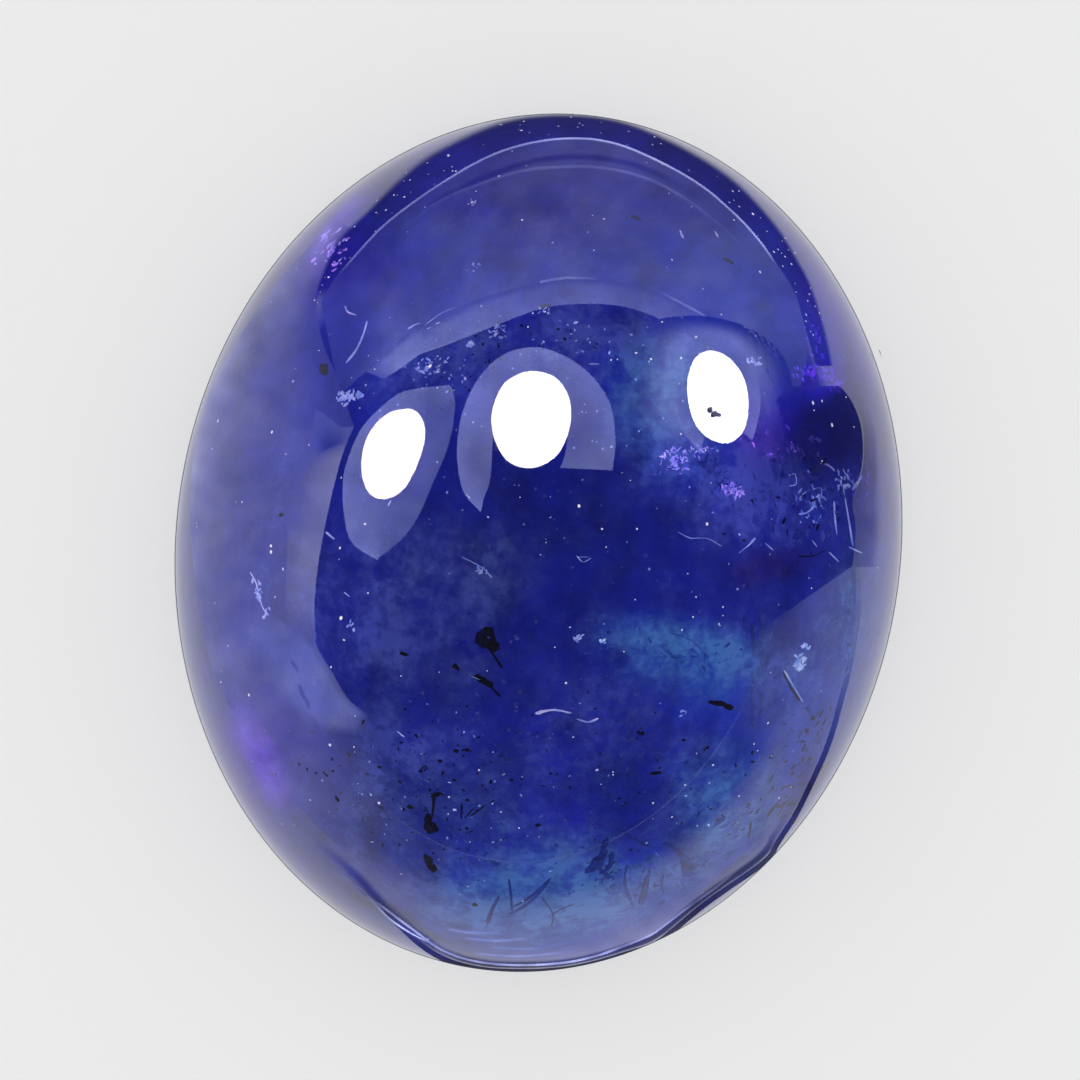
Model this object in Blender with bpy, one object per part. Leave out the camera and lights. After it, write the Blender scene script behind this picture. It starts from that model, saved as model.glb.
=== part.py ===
"""Oval cabochon: one polished stone with a high elliptical dome, a soft girdle and a flat base.

Units are metres, +Z is up. The origin is the middle of the flat base, and the long axis lies along Y.
"""

import math

import bmesh
import bpy

MM = 0.001

# Driving dimensions of the stone
LENGTH = 12.0 * MM
WIDTH = 10.1 * MM
GIRDLE_HEIGHT = 0.9 * MM
DOME_HEIGHT = 5.5 * MM

# The flank under the girdle belongs to a flatter half ellipsoid, which the base plane cuts off
LOWER_DEPTH = 2.4 * MM

# How finely the curved faces are divided
SEGMENTS = 80
DOME_RINGS = 20
FLANK_RINGS = 4

# Edges sharper than this stay crisp when the stone is shaded smooth, which is the rim of the base
CRISP_ANGLE = math.radians(40.0)

# Colour and polish of the stone
STONE_COLOUR = (0.03, 0.035, 0.32, 1.0)
STONE_ROUGHNESS = 0.03
STONE_METALLIC = 0.0
STONE_IOR = 1.694
STONE_TRANSMISSION = 1.0


def clear_scene():
    """Remove every object, so that the script gives the same result each run."""
    for item in list(bpy.data.objects):
        bpy.data.objects.remove(item, do_unlink=True)


def flank_rings():
    """Heights and outline scales of the rings from the base edge up to just under the girdle."""
    lowest = math.asin(GIRDLE_HEIGHT / LOWER_DEPTH)
    rings = []
    for step in range(FLANK_RINGS):
        angle = lowest * (1.0 - step / FLANK_RINGS)
        rings.append((GIRDLE_HEIGHT - LOWER_DEPTH * math.sin(angle), math.cos(angle)))
    return rings


def dome_rings():
    """Heights and outline scales of the rings from the girdle up to the last one below the crown."""
    rings = []
    for step in range(DOME_RINGS):
        angle = 0.5 * math.pi * step / DOME_RINGS
        rings.append((GIRDLE_HEIGHT + DOME_HEIGHT * math.sin(angle), math.cos(angle)))
    return rings


def lift_ring(shape, edges, rise, growth):
    """Extrude a ring of edges upwards by rise, resize its outline by growth, and return the new edges."""
    lifted = bmesh.ops.extrude_edge_only(shape, edges=edges)["geom"]
    verts = [item for item in lifted if isinstance(item, bmesh.types.BMVert)]
    bmesh.ops.scale(shape, vec=(growth, growth, 1.0), verts=verts)
    bmesh.ops.translate(shape, vec=(0.0, 0.0, rise), verts=verts)
    return [item for item in lifted if isinstance(item, bmesh.types.BMEdge)]


def build_stone_mesh():
    """Extrude the outline of the base ring by ring to the crown, and close both ends."""
    rings = flank_rings() + dome_rings()
    base_scale = rings[0][1]
    shape = bmesh.new()
    outline = bmesh.ops.create_circle(shape, segments=SEGMENTS, radius=0.5, cap_ends=False)["verts"]
    bmesh.ops.scale(shape, vec=(WIDTH * base_scale, LENGTH * base_scale, 1.0), verts=outline)
    base_edges = list(shape.edges)
    edges = base_edges
    for (low, low_scale), (high, high_scale) in zip(rings, rings[1:]):
        edges = lift_ring(shape, edges, high - low, high_scale / low_scale)
    crown = bmesh.ops.contextual_create(shape, geom=edges)["faces"]
    tip = bmesh.ops.poke(shape, faces=crown)["verts"][0]
    tip.co.z = GIRDLE_HEIGHT + DOME_HEIGHT
    bmesh.ops.contextual_create(shape, geom=base_edges)
    bmesh.ops.recalc_face_normals(shape, faces=shape.faces)
    mesh = bpy.data.meshes.new("cabochon")
    shape.to_mesh(mesh)
    shape.free()
    mesh.shade_smooth()
    mesh.set_sharp_from_angle(angle=CRISP_ANGLE)
    return mesh


def stone_material():
    """Clear deep violet-blue crystal with a full polish."""
    material = bpy.data.materials.new("tanzanite")
    material.use_nodes = True
    shader = material.node_tree.nodes["Principled BSDF"]
    shader.inputs["Base Color"].default_value = STONE_COLOUR
    shader.inputs["Roughness"].default_value = STONE_ROUGHNESS
    shader.inputs["Metallic"].default_value = STONE_METALLIC
    shader.inputs["IOR"].default_value = STONE_IOR
    shader.inputs["Transmission Weight"].default_value = STONE_TRANSMISSION
    return material


def main():
    """Make the one stone."""
    clear_scene()
    mesh = build_stone_mesh()
    mesh.materials.append(stone_material())
    stone = bpy.data.objects.new("cabochon", mesh)
    bpy.context.scene.collection.objects.link(stone)


main()
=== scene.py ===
"""Looks of an oval tanzanite cabochon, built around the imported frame.

Units are metres, +Z is up, the origin is the middle of the flat base, and the long axis lies along Y.
The stone is one polished crystal. What is sealed in it, and the pits in its polish, are meshes that
ride on it. Places are often given as a pixel of the 1080 x 1080 picture: a ray from the camera through
that pixel is bent at the dome, so that a thing in the stone shows where the picture has it.
"""

import logging
import math
import random
from dataclasses import dataclass
from enum import Enum

import bmesh
import bpy
from mathutils import Matrix, Vector, noise


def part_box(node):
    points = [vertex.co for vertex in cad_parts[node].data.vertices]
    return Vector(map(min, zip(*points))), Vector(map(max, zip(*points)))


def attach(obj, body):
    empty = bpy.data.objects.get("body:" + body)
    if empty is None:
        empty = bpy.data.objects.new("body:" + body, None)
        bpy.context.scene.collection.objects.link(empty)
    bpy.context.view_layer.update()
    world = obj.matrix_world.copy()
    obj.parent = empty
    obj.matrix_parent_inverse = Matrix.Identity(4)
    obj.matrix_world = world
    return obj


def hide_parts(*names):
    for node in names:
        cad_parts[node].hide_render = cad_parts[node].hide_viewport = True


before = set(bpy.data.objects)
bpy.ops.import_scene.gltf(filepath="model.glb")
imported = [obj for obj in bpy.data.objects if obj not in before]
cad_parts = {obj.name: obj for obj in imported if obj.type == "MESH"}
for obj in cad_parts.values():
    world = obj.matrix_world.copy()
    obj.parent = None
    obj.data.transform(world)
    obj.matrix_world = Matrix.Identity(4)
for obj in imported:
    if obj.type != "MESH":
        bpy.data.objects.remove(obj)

MM = 0.001
BODY = "root"
STONE_NODE = "cabochon"
BOUNCES = 9
CLEAR_BOUNCES = 12
DIFFUSE_BOUNCES = 2

Pixel = tuple[float, float]
Span = tuple[float, float]
Colour = tuple[float, float, float]
Scale = tuple[float, float, float]


class Depth(Enum):
    """How far under the polished surface a thing is sealed, in metres."""

    SKIN = 0.12 * MM
    SHALLOW = 0.45 * MM
    VEIL = 0.85 * MM
    MIDDLE = 1.1 * MM


class Light(Enum):
    """Colour of the light that a card or lamp gives."""

    COOL = (1.0, 1.1, 1.9)
    VIOLET = (1.0, 0.88, 2.0)
    LAVENDER = (1.0, 1.02, 1.35)
    NEUTRAL = (1.0, 1.0, 1.0)


@dataclass(frozen=True)
class PictureView:
    """A camera straight above the stone, turned so that the long axis leans as in the picture."""

    side: float = 1080.0
    stone_centre: Pixel = (538.5, 542.7)
    pixels_per_metre: float = 71750.0
    roll: float = math.radians(8.4)
    distance: float = 250.0 * MM
    girdle: float = 0.9 * MM
    sensor: float = 36.0
    nearest: float = 10.0 * MM
    farthest: float = 2.0
    stone_half: Pixel = (362.0, 430.0)

    @property
    def right(self) -> Vector:
        """Direction of the picture's right-hand side."""
        return Vector((math.cos(self.roll), math.sin(self.roll), 0.0))

    @property
    def up(self) -> Vector:
        """Direction of the picture's top."""
        return Vector((-math.sin(self.roll), math.cos(self.roll), 0.0))

    @property
    def eye(self) -> Vector:
        """Place of the camera.

        Returns:
            The place, moved a little so that the stone's middle falls on its pixel.
        """
        across = (self.side / 2.0 - self.stone_centre[0]) / self.pixels_per_metre
        along = (self.stone_centre[1] - self.side / 2.0) / self.pixels_per_metre
        return self.right * across + self.up * along + Vector((0.0, 0.0, self.distance))

    def sight(self, pixel: Pixel) -> Vector:
        """Direction in which the camera looks through a pixel.

        Args:
            pixel: Place in the picture, from its top left corner.

        Returns:
            Unit vector that points away from the camera.
        """
        across = (pixel[0] - self.side / 2.0) / self.pixels_per_metre
        along = (self.side / 2.0 - pixel[1]) / self.pixels_per_metre
        reach = self.distance - self.girdle
        return (self.right * across + self.up * along - Vector((0.0, 0.0, reach))).normalized()

    def build(self) -> bpy.types.Object:
        """Make the camera and set it as the scene's camera.

        Returns:
            The camera object.
        """
        data = bpy.data.cameras.new("camera")
        data.sensor_width = self.sensor
        data.lens = self.sensor * (self.distance - self.girdle) * self.pixels_per_metre / self.side
        data.clip_start = self.nearest
        data.clip_end = self.farthest
        camera = bpy.data.objects.new("camera", data)
        camera.location = self.eye
        camera.rotation_euler = (0.0, 0.0, self.roll)
        bpy.context.scene.collection.objects.link(camera)
        bpy.context.scene.camera = camera
        return camera


@dataclass(frozen=True)
class Dome:
    """The polished crown: half an ellipsoid that stands on the girdle, and how light meets it."""

    half_width: float
    half_length: float
    height: float
    girdle: float
    index: float = 1.694

    def to_unit(self, point: Vector) -> Vector:
        """A point in the space where the crown is a unit half sphere at the origin."""
        rise = point.z - self.girdle
        return Vector((point.x / self.half_width, point.y / self.half_length, rise / self.height))

    def normal(self, point: Vector) -> Vector:
        """Direction in which the crown faces.

        Args:
            point: A place on the crown.

        Returns:
            The outward unit normal there.
        """
        unit = self.to_unit(point)
        slope = Vector((unit.x / self.half_width, unit.y / self.half_length, unit.z / self.height))
        return slope.normalized()

    def meet(self, eye: Vector, sight: Vector) -> Vector:
        """Where a ray first meets the crown.

        Args:
            eye: Start of the ray.
            sight: Unit direction of the ray.

        Returns:
            The nearer point on the crown, or the closest approach for a ray that just misses.
        """
        start = self.to_unit(eye)
        run = self.to_unit(eye + sight) - start
        square = run.dot(run)
        half = start.dot(run)
        inside = half * half - square * (start.dot(start) - 1.0)
        return eye + sight * ((-half - math.sqrt(max(inside, 0.0))) / square)

    def mirror(self, sight: Vector, normal: Vector) -> Vector:
        """Direction of a ray that the polish reflects."""
        return sight - 2.0 * sight.dot(normal) * normal

    def bend(self, sight: Vector, normal: Vector) -> Vector:
        """Direction of a ray that the crystal refracts.

        Args:
            sight: Unit direction of the ray outside.
            normal: Outward unit normal where it enters.

        Returns:
            Unit direction of the ray inside.
        """
        ratio = 1.0 / self.index
        facing = -sight.dot(normal)
        inner = math.sqrt(max(1.0 - ratio * ratio * (1.0 - facing * facing), 0.0))
        return (ratio * sight + (ratio * facing - inner) * normal).normalized()


@dataclass(frozen=True)
class Sighting:
    """Turns pixels of the picture into places on, in and around the stone."""

    view: PictureView
    dome: Dome
    base_gap: float = 0.25 * MM
    least_fall: float = 0.2

    def surface(self, pixel: Pixel) -> Vector:
        """Point of the crown that a pixel shows."""
        return self.dome.meet(self.view.eye, self.view.sight(pixel))

    def beneath(self, pixel: Pixel, depth: float) -> Vector:
        """Point in the stone that shows at a pixel.

        Args:
            pixel: Place in the picture.
            depth: How far below the surface point it lies, straight down, where the stone is that thick.

        Returns:
            The point, along the refracted ray and above the base.
        """
        point = self.surface(pixel)
        depth = min(depth, max(point.z - self.base_gap, Depth.SKIN.value))
        inner = self.dome.bend(self.view.sight(pixel), self.dome.normal(point))
        return point + inner * (depth / max(-inner.z, self.least_fall))

    def mirrored(self, pixel: Pixel, reach: float, hover: float = 0.96) -> Vector:
        """Point around the stone whose reflection shows at a pixel.

        Args:
            pixel: Place in the picture.
            reach: How far from the stone the point lies.
            hover: Greatest share of the way to the floor, for a ray that heads down.

        Returns:
            The point, along the mirrored ray.
        """
        point = self.surface(pixel)
        away = self.dome.mirror(self.view.sight(pixel), self.dome.normal(point))
        if away.z < 0.0:
            reach = min(reach, hover * point.z / -away.z)
        return point + away * reach


class NodeBench:
    """A material's nodes, cleared and ready for new ones."""

    def __init__(self, tree: bpy.types.NodeTree) -> None:
        """Keep the tree and empty it."""
        self.tree = tree
        self.tree.nodes.clear()

    def add(self, kind: str, inputs: dict | None = None, **settings: object) -> bpy.types.Node:
        """Add one node.

        Args:
            kind: Blender's name for the node type, without the ShaderNode at its start.
            inputs: Value or output socket for each input, by name or number.
            settings: Properties of the node itself.

        Returns:
            The new node.
        """
        node = self.tree.nodes.new("ShaderNode" + kind)
        for name, value in settings.items():
            setattr(node, name, value)
        for name, value in (inputs or {}).items():
            if isinstance(value, bpy.types.NodeSocket):
                self.tree.links.new(value, node.inputs[name])
            else:
                node.inputs[name].default_value = value
        return node

    def math(self, operation: str, first: object, second: object = 0.0) -> bpy.types.NodeSocket:
        """Result of one Math node."""
        return self.add("Math", {0: first, 1: second}, operation=operation).outputs[0]

    def blend(self, factor: object, first: object, second: object, mode: str = "MIX") -> bpy.types.NodeSocket:
        """Colour that one Mix node makes of two.

        Args:
            factor: Share of the second colour.
            first: First colour, as RGBA or a socket.
            second: Second colour, as RGBA or a socket.
            mode: Blend type.

        Returns:
            The mixed colour's socket.
        """
        node = self.add("Mix", {0: factor, 6: first, 7: second}, data_type="RGBA", blend_type=mode)
        return node.outputs[2]

    def noise(self, place: object, scale: float, detail: float, roughness: float = 0.5) -> bpy.types.Node:
        """One Noise node that reads a place."""
        kind = {"Scale": scale, "Detail": detail, "Roughness": roughness}
        return self.add("TexNoise", {"Vector": place, **kind})

    def ramp(
        self, value: object, start: Span, end: Span = (0.0, 1.0), kind: str = "LINEAR"
    ) -> bpy.types.NodeSocket:
        """Result of one Map Range node.

        Args:
            value: The value to map.
            start: The two ends of the range it comes from.
            end: The two ends of the range it goes to.
            kind: How the result runs between them.

        Returns:
            The result's socket.
        """
        ends = {"From Min": start[0], "From Max": start[1], "To Min": end[0], "To Max": end[1]}
        return self.add("MapRange", {"Value": value, **ends}, interpolation_type=kind).outputs[0]


def opaque(colour: Colour) -> tuple[float, float, float, float]:
    """The colour with full alpha."""
    return (colour[0], colour[1], colour[2], 1.0)


def new_bench(name: str) -> tuple[bpy.types.Material, NodeBench]:
    """Start a material.

    Args:
        name: Its name.

    Returns:
        The new material and its bench.
    """
    material = bpy.data.materials.new(name)
    material.use_nodes = True
    return material, NodeBench(material.node_tree)


def dress_plainly(material: bpy.types.Material, bench: NodeBench, inputs: dict) -> bpy.types.Material:
    """Finish a material with one Principled shader whose own glow lights nothing round it.

    Args:
        material: The material.
        bench: Its nodes.
        inputs: Value or socket for each input of the shader.

    Returns:
        The material.
    """
    shader = bench.add("BsdfPrincipled", inputs)
    bench.add("OutputMaterial", {"Surface": shader.outputs[0]})
    material.cycles.emission_sampling = "NONE"
    return material


def new_object(name: str, shape: bmesh.types.BMesh, material: bpy.types.Material) -> bpy.types.Object:
    """Turn a finished bmesh into an object of the scene.

    Args:
        name: Name of the object and of its mesh.
        shape: The bmesh, which is freed.
        material: Finish of every face.

    Returns:
        The object, at the origin.
    """
    mesh = bpy.data.meshes.new(name)
    shape.to_mesh(mesh)
    shape.free()
    mesh.materials.append(material)
    piece = bpy.data.objects.new(name, mesh)
    bpy.context.scene.collection.objects.link(piece)
    return piece


def grow_ring(
    shape: bmesh.types.BMesh, edges: list[bmesh.types.BMEdge], growth: Scale = (1.0, 1.0, 1.0)
) -> tuple[list[bmesh.types.BMVert], list[bmesh.types.BMEdge]]:
    """Extrude a ring of edges, and scale the new ring about the origin.

    Args:
        shape: The bmesh.
        edges: The ring.
        growth: Scale along each axis.

    Returns:
        Vertices and edges of the new ring.
    """
    grown = bmesh.ops.extrude_edge_only(shape, edges=edges)["geom"]
    verts = [item for item in grown if isinstance(item, bmesh.types.BMVert)]
    bmesh.ops.scale(shape, vec=growth, verts=verts)
    return verts, [item for item in grown if isinstance(item, bmesh.types.BMEdge)]


def between(first: float, second: float, share: float) -> float:
    """Value that lies a share of the way from first to second."""
    return first + (second - first) * share


def smooth_line(points: list[Pixel], count: int) -> list[Pixel]:
    """Even steps along a smooth curve through a few points.

    Args:
        points: Places that the curve passes through.
        count: Number of places to return.

    Returns:
        Places on the curve, ends included.
    """
    padded = [points[0]] + list(points) + [points[-1]]
    spans = len(points) - 1
    line = []
    for step in range(count):
        place = spans * step / (count - 1)
        span = min(int(place), spans - 1)
        t = place - span
        before, start, end, after = (Vector(p) for p in padded[span:span + 4])
        bent = start * 2.0 + (end - before) * t + (before * 2.0 - start * 5.0 + end * 4.0 - after) * t * t
        bent += (start * 3.0 - before - end * 3.0 + after) * t * t * t
        line.append((bent.x / 2.0, bent.y / 2.0))
    return line


def ease(share: float) -> float:
    """The share with a soft start and a soft end."""
    return share * share * (3.0 - 2.0 * share)


def beside(line: list[Pixel], width: float) -> list[Pixel]:
    """Move a line sideways, to the left of the way it runs.

    Args:
        line: Places along the line.
        width: How far it moves.

    Returns:
        The moved places.
    """
    moved = []
    for place, point in enumerate(line):
        before = Vector(line[max(place - 1, 0)])
        after = Vector(line[min(place + 1, len(line) - 1)])
        along = (after - before).normalized()
        moved.append((point[0] + along.y * width, point[1] - along.x * width))
    return moved


def smooth_ring(points: list[Pixel], count: int) -> list[Pixel]:
    """Even steps round a smooth closed curve through a few points."""
    looped = smooth_line(points[-1:] + points + points[:2], (len(points) + 2) * count + 1)
    return looped[count:-count][::len(points)]


@dataclass(frozen=True)
class TintAndShadeZone:
    """A soft cloud of another tint in the crystal, placed by where it shows on the crown; some dark ones are
    painted shade.
    """

    middle: Pixel
    half_axes: Pixel
    tint: Colour
    strength: float = 1.0
    lean: float = 0.0


TINT_AND_PAINTED_SHADE_ZONES = [TintAndShadeZone(*row) for row in (
    ((560, 190), (240, 100), (0.45, 0.10, 0.40)), ((370, 265), (80, 60), (0.30, 0.02, 0.62), 0.9, 30.0),
    ((300, 260), (60, 90), (0.60, 0.03, 0.95), 0.8, -35.0), ((560, 570), (280, 190), (0.40, 0.20, 0.42)),
    ((440, 690), (130, 70), (0.35, 0.18, 0.34), 0.9), ((430, 820), (170, 80), (0.55, 0.36, 0.58), 0.9),
    ((300, 720), (80, 110), (0.65, 0.34, 0.66), 0.8, 30.0),
    ((252, 768), (85, 130), (1.0, 0.02, 1.0), 1.0, 30.0), ((400, 885), (70, 35), (0.6, 0.14, 0.52), 0.8),
    ((570, 905), (260, 85), (0.85, 1.0, 1.0), 1.0, -5.0),
    ((755, 825), (130, 85), (0.80, 1.0, 1.0), 0.95, 45.0), ((625, 795), (70, 60), (0.15, 0.16, 0.42), 0.9),
    ((500, 785), (75, 60), (0.30, 0.18, 0.38), 0.7), ((690, 655), (130, 50), (0.60, 0.95, 0.90), 0.9, 10.0),
    ((800, 690), (70, 110), (0.70, 0.45, 0.72), 0.8), ((872, 625), (60, 110), (0.85, 1.0, 1.0), 1.0),
    ((665, 395), (85, 85), (0.80, 0.95, 0.88), 0.9), ((700, 465), (80, 45), (0.60, 0.40, 1.0), 0.8),
    ((760, 495), (100, 70), (0.50, 0.22, 0.75), 0.8), ((768, 415), (70, 60), (1.0, 0.04, 1.0), 0.9),
    # Painted shade: the first zone on the next line is nearly black and darkens the right side where the
    # polish mirrors something dark; the second zone is violet crystal.
    ((822, 434), (92, 108), (0.05, 0.01, 0.08), 1.0), ((812, 372), (40, 26), (0.8, 0.05, 1.0), 0.9),
    ((835, 300), (80, 120), (0.9, 0.06, 1.0), 0.9, -25.0), ((775, 564), (60, 22), (1.0, 0.06, 0.26), 0.8),
    # Painted shade: these four thin dark zones darken the crystal along the lower rim, where the polish
    # mirrors a dark line.
    ((548, 966), (230, 17), (0.2, 0.03, 0.10), 0.95, -4.0),
    ((712, 900), (120, 17), (0.2, 0.03, 0.10), 0.95, -38.0),
    ((390, 912), (105, 16), (0.2, 0.03, 0.10), 0.9, 37.0),
    ((812, 780), (90, 14), (0.2, 0.03, 0.12), 0.8, -64.0),
)]


@dataclass(frozen=True)
class TanzaniteFinish:
    """Clear violet-blue crystal: polished crown, ground base and cloudy colour zones, with dark zones of
    painted shade along the lower rim and at the right.
    """

    index: float = 1.694
    polish: float = 0.02
    ground: float = 0.5
    ground_below: float = 0.03 * MM
    mottle: float = 0.45
    mottle_range: Span = (0.78, 1.22)
    plain_tint: Colour = (0.5, 0.24, 0.66)
    absorption: Colour = (0.10, 0.41, 0.906)
    density_per_metre: float = 800.0
    stir_scale: float = 500.0
    stir_reach: float = 1.2 * MM
    zone_core: float = 0.2
    fine_scale: float = 2000.0
    band_scale: float = 1500.0
    band_stretch: Scale = (1.0, 0.16, 0.3)

    def tinted_and_shaded(
        self, bench: NodeBench, place: bpy.types.NodeSocket, sighting: Sighting
    ) -> bpy.types.NodeSocket:
        """Lay every colour zone over the plain crystal, the dark zones of painted shade among them.

        Args:
            bench: The material's nodes.
            place: Object coordinates, stirred a little so that the zones look cloudy.
            sighting: Turns the zones' pixels into places on the crown.

        Returns:
            The tint's colour socket.
        """
        tint = opaque(self.plain_tint)
        for zone in TINT_AND_PAINTED_SHADE_ZONES:
            middle = sighting.surface(zone.middle)
            scale = sighting.view.pixels_per_metre
            mapped = bench.add("Mapping", {
                "Vector": place,
                "Location": middle,
                "Rotation": (0.0, 0.0, sighting.view.roll - math.radians(zone.lean)),
                "Scale": (zone.half_axes[0] / scale, zone.half_axes[1] / scale, 1.0),
            }, vector_type="TEXTURE")
            flat = bench.add("VectorMath", {0: mapped.outputs[0], 1: (1.0, 1.0, 0.0)}, operation="MULTIPLY")
            away = bench.add("VectorMath", {0: flat.outputs[0]}, operation="LENGTH").outputs["Value"]
            share = bench.ramp(away, (1.0, self.zone_core), (0.0, zone.strength), "SMOOTHSTEP")
            tint = bench.blend(share, tint, opaque(zone.tint))
        return tint

    def mottled(
        self, bench: NodeBench, place: bpy.types.NodeSocket, tint: bpy.types.NodeSocket
    ) -> bpy.types.NodeSocket:
        """Break the tint up into fine clouds and growth bands that run along the crystal.

        Args:
            bench: The material's nodes.
            place: Object coordinates.
            tint: The tint so far.

        Returns:
            The broken tint's colour socket.
        """
        fine = bench.noise(place, self.fine_scale, 6.0, 0.68)
        drawn = bench.add("Mapping", {"Vector": place, "Scale": self.band_stretch}).outputs[0]
        bands = bench.noise(drawn, self.band_scale, 4.0)
        both = bench.math("ADD", fine.outputs["Fac"], bands.outputs["Fac"])
        level = bench.ramp(both, self.mottle_range, (1.0 - self.mottle, 1.0 + self.mottle))
        grey = bench.add("CombineColor", {0: level, 1: level, 2: level}).outputs[0]
        return bench.blend(1.0, tint, grey, "MULTIPLY")

    def material(self, sighting: Sighting) -> bpy.types.Material:
        """Build the crystal's material.

        Args:
            sighting: Turns the zones' pixels into places on the crown.

        Returns:
            The material, with plain absorption in its volume.
        """
        material, bench = new_bench("tanzanite crystal")
        place = bench.add("TexCoord").outputs["Object"]
        stir = bench.noise(place, self.stir_scale, 3.0).outputs["Color"]
        swirl = bench.add("VectorMath", {0: stir, 1: (0.5, 0.5, 0.5)}, operation="SUBTRACT").outputs[0]
        shift = bench.add("VectorMath", {0: swirl, "Scale": self.stir_reach}, operation="SCALE").outputs[0]
        stirred = bench.add("VectorMath", {0: place, 1: shift}, operation="ADD").outputs[0]
        tint = self.tinted_and_shaded(bench, stirred, sighting)
        tint = self.mottled(bench, place, tint)
        height = bench.add("SeparateXYZ", {0: place}).outputs["Z"]
        rough = bench.ramp(height, (self.ground_below, self.ground_below * 2.0), (self.ground, self.polish))
        shader = bench.add("BsdfPrincipled", {
            "Base Color": tint,
            "Roughness": rough,
            "IOR": self.index,
            "Transmission Weight": 1.0,
        })
        depth = bench.add("VolumeAbsorption", {
            "Color": opaque(self.absorption),
            "Density": self.density_per_metre,
        })
        bench.add("OutputMaterial", {"Surface": shader.outputs[0], "Volume": depth.outputs[0]})
        return material


@dataclass(frozen=True)
class Stone:
    """The polished crystal itself: crown, soft girdle, flank and flat base."""

    half_width: float
    half_length: float
    dome_height: float
    girdle: float
    flank_depth: float = 2.4 * MM
    around: int = 320
    upwards: int = 200
    ease_height: float = 0.3 * MM
    ease_steps: int = 10
    ripple: float = 0.003 * MM
    ripple_scale: float = 420.0
    ripple_rise: float = 4.0
    crisp: float = math.radians(50.0)

    def shape(self) -> bmesh.types.BMesh:
        """Shape a sphere into the crown and flank, cut off the base and ease its edge.

        Returns:
            The finished closed bmesh.
        """
        shape = bmesh.new()
        bmesh.ops.create_uvsphere(shape, u_segments=self.around, v_segments=self.upwards, radius=1.0)
        cut = (self.ease_height - self.girdle) / self.flank_depth
        geometry = list(shape.verts) + list(shape.edges) + list(shape.faces)
        found = bmesh.ops.bisect_plane(
            shape, geom=geometry, plane_co=(0.0, 0.0, cut), plane_no=(0.0, 0.0, -1.0), clear_outer=True)
        rim = [item for item in found["geom_cut"] if isinstance(item, bmesh.types.BMEdge)]
        crown = [vert for vert in shape.verts if vert.co.z >= 0.0]
        flank = [vert for vert in shape.verts if vert.co.z < 0.0]
        bmesh.ops.scale(shape, vec=(self.half_width, self.half_length, self.dome_height), verts=crown)
        bmesh.ops.scale(shape, vec=(self.half_width, self.half_length, self.flank_depth), verts=flank)
        bmesh.ops.translate(shape, vec=(0.0, 0.0, self.girdle), verts=shape.verts)
        self.ease_base(shape, rim)
        bmesh.ops.recalc_face_normals(shape, faces=shape.faces)
        self.ripple_crown(shape)
        return shape

    def ease_base(self, shape: bmesh.types.BMesh, rim: list[bmesh.types.BMEdge]) -> None:
        """Round the flank into the flat base by extruding its rim along an arc, and close the base.

        Args:
            shape: The crown and flank, open below.
            rim: Edges of the opening.
        """
        fall = (self.girdle - self.ease_height) / self.flank_depth
        shrink = math.sqrt(1.0 - fall * fall)
        outline = self.half_width * shrink
        lean = math.atan(self.half_width * fall / (self.flank_depth * shrink))
        radius = self.ease_height / (1.0 - math.sin(lean))
        turns = [between(lean, 0.5 * math.pi, step / self.ease_steps) for step in range(self.ease_steps + 1)]
        widths = [outline + radius * (math.cos(turn) - math.cos(lean)) for turn in turns]
        edges = rim
        for step in range(self.ease_steps):
            growth = widths[step + 1] / widths[step]
            drop = radius * (math.sin(turns[step + 1]) - math.sin(turns[step]))
            verts, edges = grow_ring(shape, edges, (growth, growth, 1.0))
            bmesh.ops.translate(shape, vec=(0.0, 0.0, -drop), verts=verts)
        bmesh.ops.contextual_create(shape, geom=edges)

    def ripple_crown(self, shape: bmesh.types.BMesh) -> None:
        """Give the crown the faint waves that hand polishing leaves.

        Args:
            shape: The closed stone.
        """
        shape.normal_update()
        for vert in shape.verts:
            rise = max(vert.co.z - self.girdle, 0.0) / self.dome_height
            wave = noise.noise(vert.co * self.ripple_scale)
            vert.co += vert.normal * (self.ripple * wave * min(rise * self.ripple_rise, 1.0))

    def build(self, finish: TanzaniteFinish, sighting: Sighting) -> bpy.types.Object:
        """Build the stone and dress it.

        Args:
            finish: The crystal's finish.
            sighting: Turns pixels into places.

        Returns:
            The stone, which stands for the CAD solid.
        """
        piece = new_object("tanzanite_stone", self.shape(), finish.material(sighting))
        piece.data.shade_smooth()
        piece.data.set_sharp_from_angle(angle=self.crisp)
        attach(piece, BODY)
        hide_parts(STONE_NODE)
        return piece


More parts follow.
